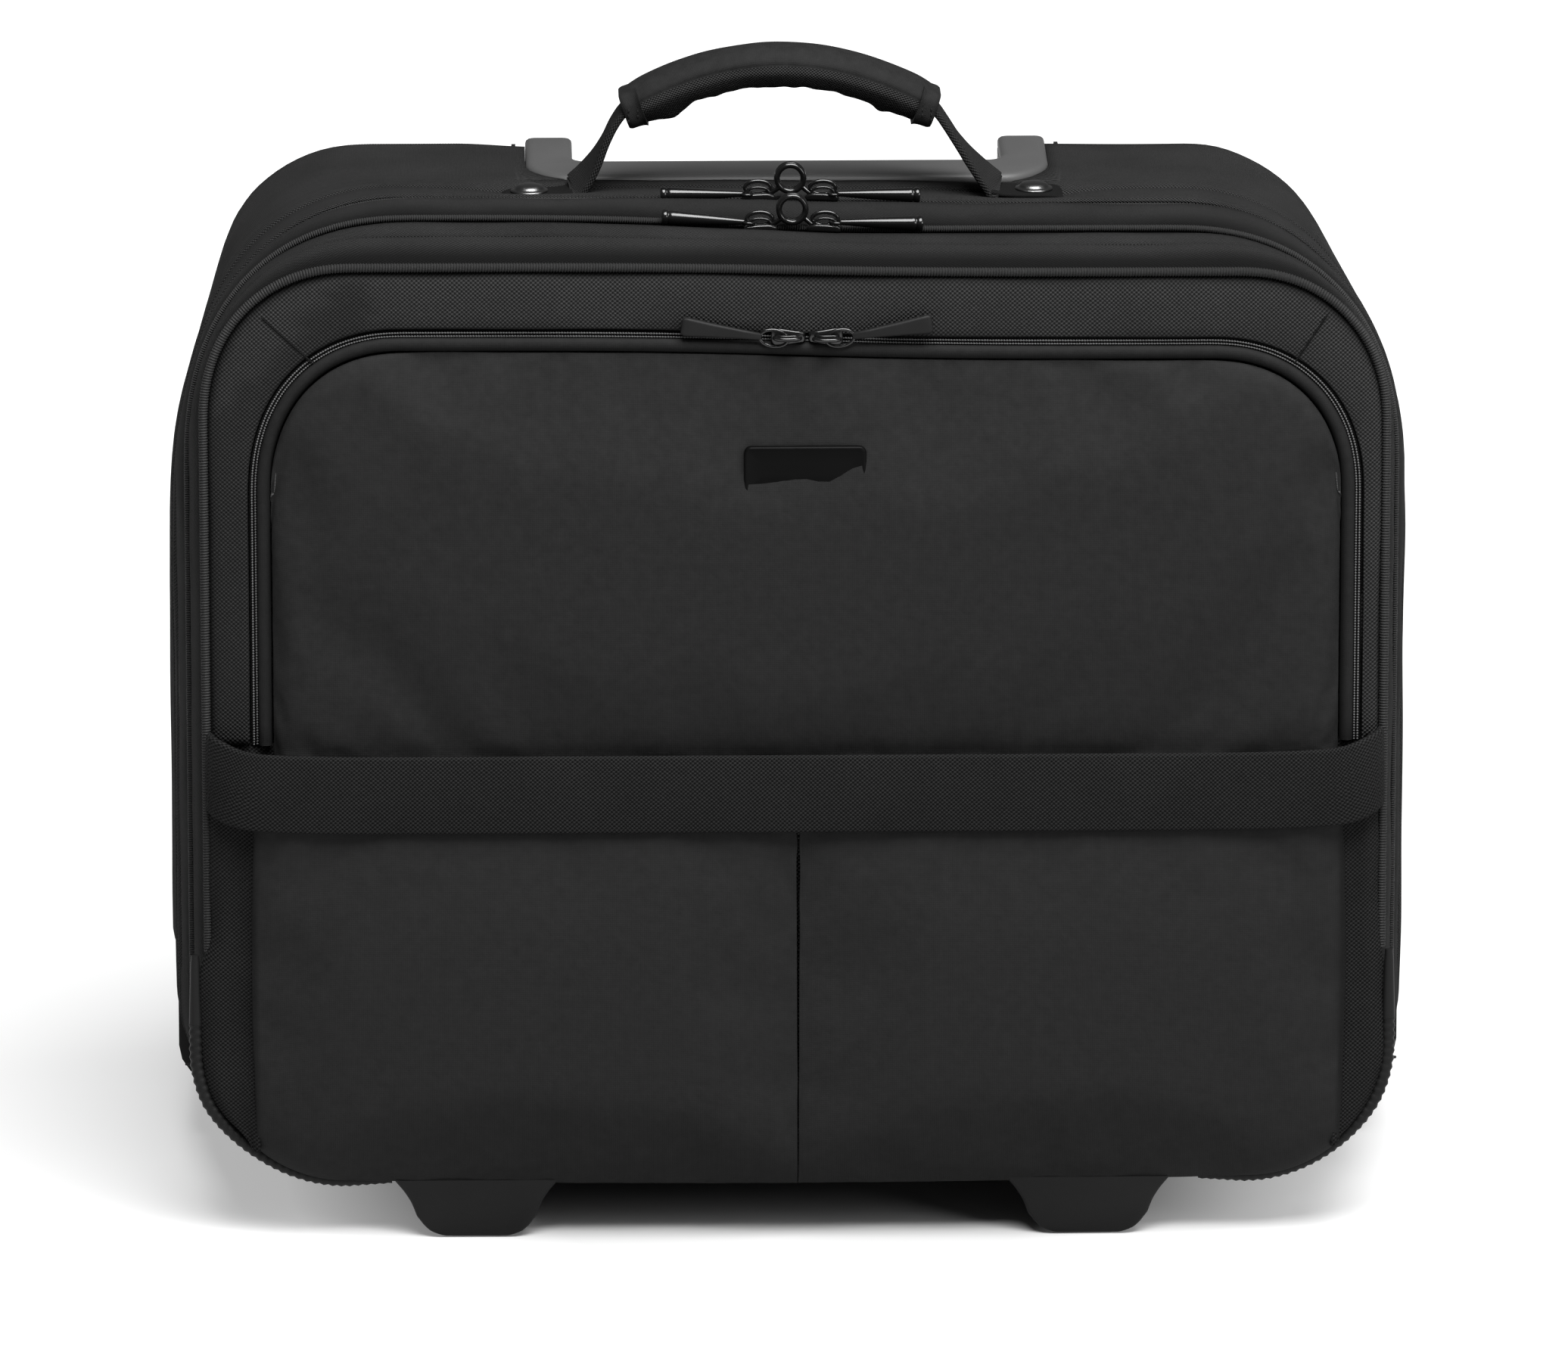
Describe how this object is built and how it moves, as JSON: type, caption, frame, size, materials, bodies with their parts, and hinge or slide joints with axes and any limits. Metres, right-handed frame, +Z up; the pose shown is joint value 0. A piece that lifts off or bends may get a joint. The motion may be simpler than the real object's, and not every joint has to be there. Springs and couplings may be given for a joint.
{
  "type": "pilot rolling flight case",
  "caption": "Soft-sided rolling pilot case with zipped sections, flap pocket, carry handle, telescopic trolley handle, rear wheels and front feet.",
  "frame": {"origin": "on the floor under the middle of the case's outer box", "axes": "+X to the right seen from the front, +Y to the back, +Z up"},
  "size_m": [0.454, 0.206, 0.4132],
  "materials": {
    "canvas": "coarse black twill canvas, matte",
    "smooth_fabric": "smooth fine-grained dark grey fabric over foam",
    "lining": "plain woven grey lining",
    "piping": "ribbed black piping cord",
    "zip": "black nylon coil on woven tape",
    "gloss_plastic": "gloss black enamel",
    "grip_plastic": "mid grey moulded plastic, fine texture",
    "moulded_plastic": "black moulded plastic, satin",
    "tyre": "black rubber",
    "steel": "bright steel",
    "aluminium_tube": "anodised aluminium",
    "rivet": "black chrome"
  },
  "bodies": {
    "rear_case": {"rear_shell": "canvas", "inner_back_board": "lining", "trolley_foot_bracket": "moulded_plastic", "trolley_bezel": "moulded_plastic", "outer_tube_left": "aluminium_tube", "outer_tube_right": "aluminium_tube", "wheel_housing_left": "moulded_plastic", "wheel_housing_right": "moulded_plastic", "axle_left": "steel", "axle_right": "steel", "rivet_left": "rivet", "rivet_right": "rivet", "zip_main": "zip", "hinge_strip_main": "canvas", "rear_piping_left": "piping", "rear_piping_right": "piping"},
    "middle_section": {"middle_shell": "canvas", "laptop_divider": "lining", "zip_laptop": "zip", "hinge_strip_front": "canvas"},
    "front_section": {"front_shell": "canvas", "pocket_lining": "lining", "front_piping": "piping", "corner_guard_left": "moulded_plastic", "corner_guard_right": "moulded_plastic", "lower_pocket": "smooth_fabric", "front_band": "canvas", "zip_pocket": "zip", "foot_left": "moulded_plastic", "foot_right": "moulded_plastic"},
    "pocket_flap": {"flap_panel": "smooth_fabric", "badge": "gloss_plastic"},
    "trolley_mid": {"mid_tube_left": "aluminium_tube", "mid_tube_right": "aluminium_tube"},
    "trolley_grip": {"inner_tube_left": "aluminium_tube", "inner_tube_right": "aluminium_tube", "grip_lower": "grip_plastic", "grip_upper": "grip_plastic"},
    "release_button": {"release_button": "moulded_plastic", "lock_rod_left": "steel", "lock_rod_right": "steel"},
    "wheel_left": {"tyre_left": "tyre", "hub_left": "grip_plastic"},
    "wheel_right": {"tyre_right": "tyre", "hub_right": "grip_plastic"},
    "carry_handle": {"handle_sleeve": "canvas", "handle_webbing": "canvas"},
    "slider_main_left": {"slider_main_left": "gloss_plastic"},
    "pull_main_left": {"pull_main_left": "gloss_plastic"},
    "slider_main_right": {"slider_main_right": "gloss_plastic"},
    "pull_main_right": {"pull_main_right": "gloss_plastic"},
    "slider_laptop_left": {"slider_laptop_left": "gloss_plastic"},
    "pull_laptop_left": {"pull_laptop_left": "gloss_plastic"},
    "slider_laptop_right": {"slider_laptop_right": "gloss_plastic"},
    "pull_laptop_right": {"pull_laptop_right": "gloss_plastic"},
    "slider_pocket_left": {"slider_pocket_left": "gloss_plastic"},
    "pull_pocket_left": {"pull_pocket_left": "gloss_plastic"},
    "slider_pocket_right": {"slider_pocket_right": "gloss_plastic"},
    "pull_pocket_right": {"pull_pocket_right": "gloss_plastic"}
  },
  "joints": [
    {"name": "middle_open", "type": "hinge", "parent": "rear_case", "child": "middle_section", "pos_m": [0, -0.0068, 0.0212], "axis": [1, 0, 0], "range_deg": [0, 90]},
    {"name": "front_open", "type": "hinge", "parent": "middle_section", "child": "front_section", "pos_m": [0, -0.0398, 0.0212], "axis": [1, 0, 0], "range_deg": [0, 90]},
    {"name": "flap_open", "type": "hinge", "parent": "front_section", "child": "pocket_flap", "pos_m": [0, -0.0935, 0.1815], "axis": [1, 0, 0], "range_deg": [0, 60]},
    {"name": "trolley_stage_1", "type": "slide", "parent": "rear_case", "child": "trolley_mid", "axis": [0, 0, 1], "range_m": [0, 0.27]},
    {"name": "trolley_stage_2", "type": "slide", "parent": "trolley_mid", "child": "trolley_grip", "axis": [0, 0, 1], "range_m": [0, 0.27]},
    {"name": "button_press", "type": "slide", "parent": "trolley_grip", "child": "release_button", "axis": [0, 0, 1], "range_m": [0, 0.004], "stiffness_N_per_m": 400},
    {"name": "wheel_left_spin", "type": "hinge", "parent": "rear_case", "child": "wheel_left", "pos_m": [-0.1935, 0.0695, 0.0335], "axis": [1, 0, 0], "continuous": true},
    {"name": "wheel_right_spin", "type": "hinge", "parent": "rear_case", "child": "wheel_right", "pos_m": [0.1935, 0.0695, 0.0335], "axis": [1, 0, 0], "continuous": true},
    {"name": "carry_handle_tilt", "type": "hinge", "parent": "rear_case", "child": "carry_handle", "pos_m": [-0.0035, 0.016, 0.3605], "axis": [1, 0, 0], "range_deg": [-45, 45], "stiffness_Nm_per_rad": 0.3},
    {"name": "slider_main_left_slide", "type": "slide", "parent": "rear_case", "child": "slider_main_left", "axis": [-1, 0, 0], "range_m": [0, 0.1]},
    {"name": "pull_main_left_swing", "type": "hinge", "parent": "slider_main_left", "child": "pull_main_left", "pos_m": [-0.014, -0.001, 0.3628], "axis": [0, 1, 0], "range_deg": [0, 90]},
    {"name": "slider_main_right_slide", "type": "slide", "parent": "rear_case", "child": "slider_main_right", "axis": [1, 0, 0], "range_m": [0, 0.1]},
    {"name": "pull_main_right_swing", "type": "hinge", "parent": "slider_main_right", "child": "pull_main_right", "pos_m": [0.014, -0.001, 0.3628], "axis": [0, -1, 0], "range_deg": [0, 90]},
    {"name": "slider_laptop_left_slide", "type": "slide", "parent": "middle_section", "child": "slider_laptop_left", "axis": [-1, 0, 0], "range_m": [0, 0.1]},
    {"name": "pull_laptop_left_swing", "type": "hinge", "parent": "slider_laptop_left", "child": "pull_laptop_left", "pos_m": [-0.014, -0.034, 0.3616], "axis": [0, 1, 0], "range_deg": [0, 90]},
    {"name": "slider_laptop_right_slide", "type": "slide", "parent": "middle_section", "child": "slider_laptop_right", "axis": [1, 0, 0], "range_m": [0, 0.1]},
    {"name": "pull_laptop_right_swing", "type": "hinge", "parent": "slider_laptop_right", "child": "pull_laptop_right", "pos_m": [0.014, -0.034, 0.3616], "axis": [0, -1, 0], "range_deg": [0, 90]},
    {"name": "slider_pocket_left_slide", "type": "slide", "parent": "front_section", "child": "slider_pocket_left", "axis": [-1, 0, 0], "range_m": [0, 0.1]},
    {"name": "pull_pocket_left_swing", "type": "hinge", "parent": "slider_pocket_left", "child": "pull_pocket_left", "pos_m": [-0.01, -0.0928, 0.3295], "axis": [0, 0, 1], "range_deg": [0, 90]},
    {"name": "slider_pocket_right_slide", "type": "slide", "parent": "front_section", "child": "slider_pocket_right", "axis": [1, 0, 0], "range_m": [0, 0.1]},
    {"name": "pull_pocket_right_swing", "type": "hinge", "parent": "slider_pocket_right", "child": "pull_pocket_right", "pos_m": [0.018, -0.0928, 0.3295], "axis": [0, 0, -1], "range_deg": [0, 90]}
  ]
}
